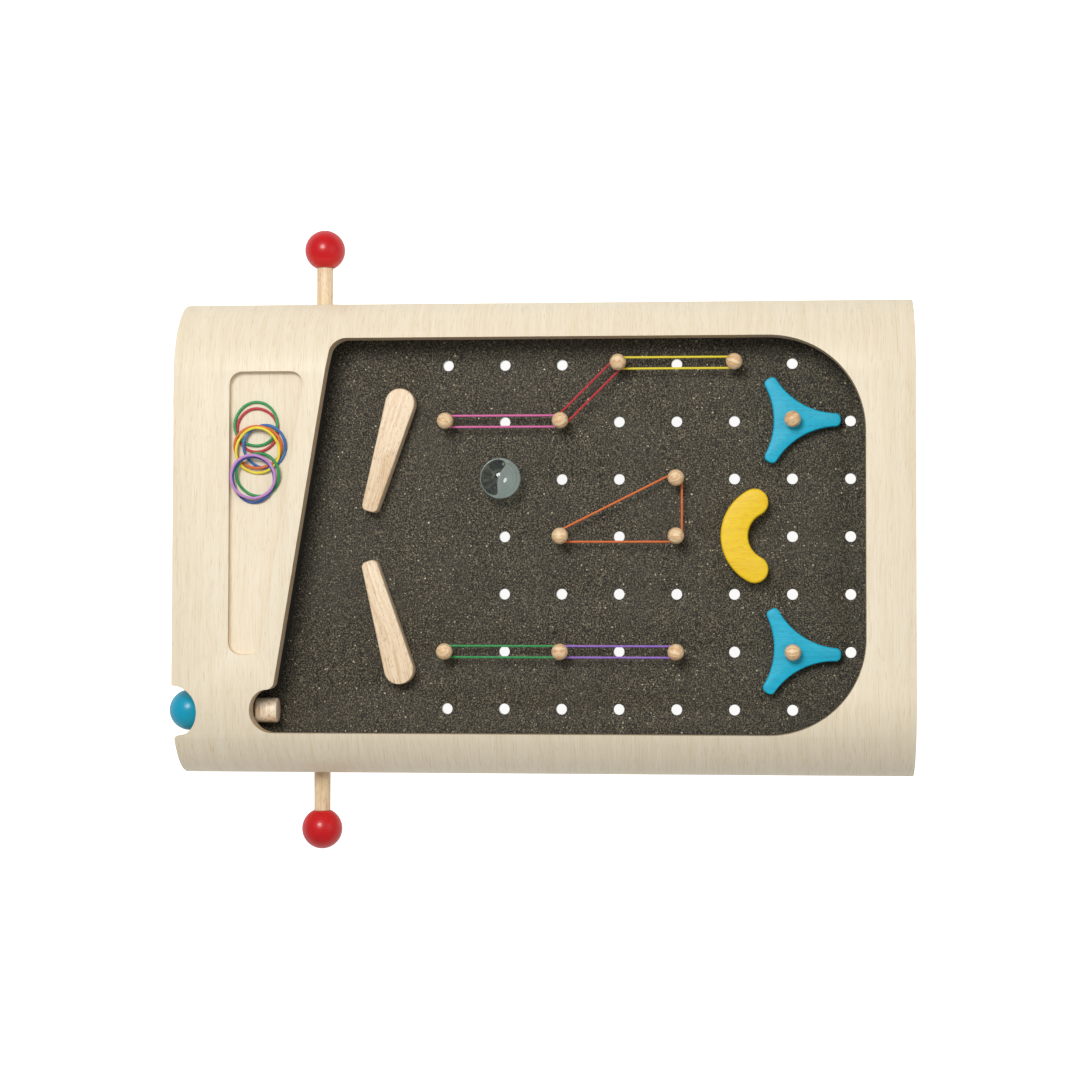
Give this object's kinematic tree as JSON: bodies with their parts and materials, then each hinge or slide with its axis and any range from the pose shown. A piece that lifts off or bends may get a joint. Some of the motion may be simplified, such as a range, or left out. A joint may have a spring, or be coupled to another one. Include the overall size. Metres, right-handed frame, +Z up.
{
  "type": "tabletop pinball game",
  "caption": "Wooden tabletop pinball game: bent plywood cover, perforated sloping playfield, plug-in pegs and bands, push-rod flippers and a sprung plunger.",
  "frame": {"origin": "on the table, at the centre of the whole outline in plan", "axes": "+Z up, +Y away from the player towards the high end, +X to the player's right"},
  "size_m": [0.385, 0.4572, 0.1009],
  "materials": {
    "birch_plywood": "satin clear lacquer on bent plywood",
    "speckled_board": "matt charcoal fibreboard with pale flecks",
    "rail_wood": "satin clear lacquer",
    "dark_board": "matt charcoal fibreboard",
    "maple": "satin clear lacquer",
    "dowel_wood": "fine sanded",
    "spring_steel": "bright drawn wire",
    "red_paint": "gloss water-based paint on a turned wooden ball",
    "blue_paint": "gloss water-based paint on a turned wooden ball",
    "cyan_stain": "satin stain that lets the grain show",
    "yellow_stain": "satin stain that lets the grain show",
    "clear_glass": "polished",
    "rubber_pink": "satin",
    "rubber_red": "satin",
    "rubber_yellow": "satin",
    "rubber_orange": "satin",
    "rubber_green": "satin",
    "rubber_purple": "satin",
    "rubber_blue": "satin",
    "rubber_dark_blue": "satin"
  },
  "bodies": {
    "root": {"cover": "birch_plywood", "playfield": "speckled_board", "front_panel": "rail_wood", "rear_panel": "rail_wood", "marble_guide": "dark_board", "far_rim": "dark_board", "left_rod_guide": "rail_wood", "right_rod_guide": "rail_wood", "band_pink": "rubber_pink", "band_red": "rubber_red", "band_yellow": "rubber_yellow", "band_orange": "rubber_orange", "band_green": "rubber_green", "band_purple": "rubber_purple"},
    "plunger": {"plunger_knob": "blue_paint", "plunger_rod": "dowel_wood", "plunger_head": "maple", "plunger_spring": "spring_steel"},
    "left_push_rod": {"left_push_rod": "dowel_wood", "left_push_knob": "red_paint", "left_stop_collar": "maple", "left_link_pin": "spring_steel", "left_return_spring": "spring_steel"},
    "left_flipper": {"left_flipper": "maple", "left_flipper_shaft": "dowel_wood", "left_crank": "dowel_wood"},
    "right_push_rod": {"right_push_rod": "dowel_wood", "right_push_knob": "red_paint", "right_stop_collar": "maple", "right_link_pin": "spring_steel", "right_return_spring": "spring_steel"},
    "right_flipper": {"right_flipper": "maple", "right_flipper_shaft": "dowel_wood", "right_crank": "dowel_wood"},
    "left_star": {"left_star": "cyan_stain"},
    "right_star": {"right_star": "cyan_stain"},
    "bean": {"bean": "yellow_stain", "bean_dowel": "dowel_wood"},
    "peg_01": {"peg_01": "maple"},
    "peg_02": {"peg_02": "maple"},
    "peg_03": {"peg_03": "maple"},
    "peg_04": {"peg_04": "maple"},
    "peg_05": {"peg_05": "maple"},
    "peg_06": {"peg_06": "maple"},
    "peg_07": {"peg_07": "maple"},
    "peg_08": {"peg_08": "maple"},
    "peg_09": {"peg_09": "maple"},
    "peg_10": {"peg_10": "maple"},
    "peg_11": {"peg_11": "maple"},
    "peg_12": {"peg_12": "maple"},
    "marble": {"marble": "clear_glass"},
    "loose_bands": {"ring_green_1": "rubber_green", "ring_red": "rubber_red", "ring_orange": "rubber_orange", "ring_blue": "rubber_blue", "ring_yellow": "rubber_yellow", "ring_green_2": "rubber_green", "ring_pink": "rubber_pink", "ring_dark_blue": "rubber_dark_blue"}
  },
  "joints": [
    {"name": "plunger_pull", "type": "slide", "parent": "root", "child": "plunger", "axis": [0, -0.9962, -0.0872], "range_m": [0, 0.018], "stiffness_N_per_m": 180, "springref_m": -0.006, "deforming": ["plunger_spring"]},
    {"name": "left_push", "type": "slide", "parent": "root", "child": "left_push_rod", "axis": [1, 0, 0], "range_m": [0, 0.02], "stiffness_N_per_m": 90, "springref_m": -0.008, "deforming": ["left_return_spring"]},
    {"name": "left_flip", "type": "hinge", "parent": "root", "child": "left_flipper", "pos_m": [-0.081, -0.08728, 0.0469], "axis": [0, -0.0872, 0.9962], "range_deg": [0, 21]},
    {"name": "right_push", "type": "slide", "parent": "root", "child": "right_push_rod", "axis": [-1, 0, 0], "range_m": [0, 0.02], "stiffness_N_per_m": 90, "springref_m": -0.008, "deforming": ["right_return_spring"]},
    {"name": "right_flip", "type": "hinge", "parent": "root", "child": "right_flipper", "pos_m": [0.081, -0.08728, 0.0469], "axis": [0, 0.0872, -0.9962], "range_deg": [0, 21]},
    {"name": "left_star_spin", "type": "hinge", "parent": "root", "child": "left_star", "pos_m": [-0.07, 0.15017, 0.06467], "axis": [0, -0.0872, 0.9962], "continuous": true},
    {"name": "right_star_spin", "type": "hinge", "parent": "root", "child": "right_star", "pos_m": [0.07, 0.15017, 0.06467], "axis": [0, -0.0872, 0.9962], "continuous": true},
    {"name": "bean_turn", "type": "hinge", "parent": "root", "child": "bean", "pos_m": [0, 0.11531, 0.06162], "axis": [0, -0.0872, 0.9962], "range_deg": [-90, 90]},
    {"name": "peg_01_lift", "type": "slide", "parent": "root", "child": "peg_01", "axis": [0, -0.0872, 0.9962], "range_m": [0, 0.0086]},
    {"name": "peg_02_lift", "type": "slide", "parent": "root", "child": "peg_02", "axis": [0, -0.0872, 0.9962], "range_m": [0, 0.0086]},
    {"name": "peg_03_lift", "type": "slide", "parent": "root", "child": "peg_03", "axis": [0, -0.0872, 0.9962], "range_m": [0, 0.0086]},
    {"name": "peg_04_lift", "type": "slide", "parent": "root", "child": "peg_04", "axis": [0, -0.0872, 0.9962], "range_m": [0, 0.0086]},
    {"name": "peg_05_lift", "type": "slide", "parent": "root", "child": "peg_05", "axis": [0, -0.0872, 0.9962], "range_m": [0, 0.0086]},
    {"name": "peg_06_lift", "type": "slide", "parent": "root", "child": "peg_06", "axis": [0, -0.0872, 0.9962], "range_m": [0, 0.0086]},
    {"name": "peg_07_lift", "type": "slide", "parent": "root", "child": "peg_07", "axis": [0, -0.0872, 0.9962], "range_m": [0, 0.0086]},
    {"name": "peg_08_lift", "type": "slide", "parent": "root", "child": "peg_08", "axis": [0, -0.0872, 0.9962], "range_m": [0, 0.0086]},
    {"name": "peg_09_lift", "type": "slide", "parent": "root", "child": "peg_09", "axis": [0, -0.0872, 0.9962], "range_m": [0, 0.0086]},
    {"name": "peg_10_lift", "type": "slide", "parent": "root", "child": "peg_10", "axis": [0, -0.0872, 0.9962], "range_m": [0, 0.0086]},
    {"name": "peg_11_lift", "type": "slide", "parent": "root", "child": "peg_11", "axis": [0, -0.0872, 0.9962], "range_m": [0, 0.0086]},
    {"name": "peg_12_lift", "type": "slide", "parent": "root", "child": "peg_12", "axis": [0, -0.0872, 0.9962], "range_m": [0, 0.0086]},
    {"name": "marble_lift", "type": "slide", "parent": "root", "child": "marble", "axis": [0, -0.0872, 0.9962], "range_m": [0, 0.04]},
    {"name": "loose_bands_lift", "type": "slide", "parent": "root", "child": "loose_bands", "axis": [0, -0.0872, 0.9962], "range_m": [0, 0.02]}
  ],
  "couplings": [
    {"joint": "left_flip", "follows": "left_push", "rad_per_m": 18.2},
    {"joint": "right_flip", "follows": "right_push", "rad_per_m": 18.2}
  ]
}
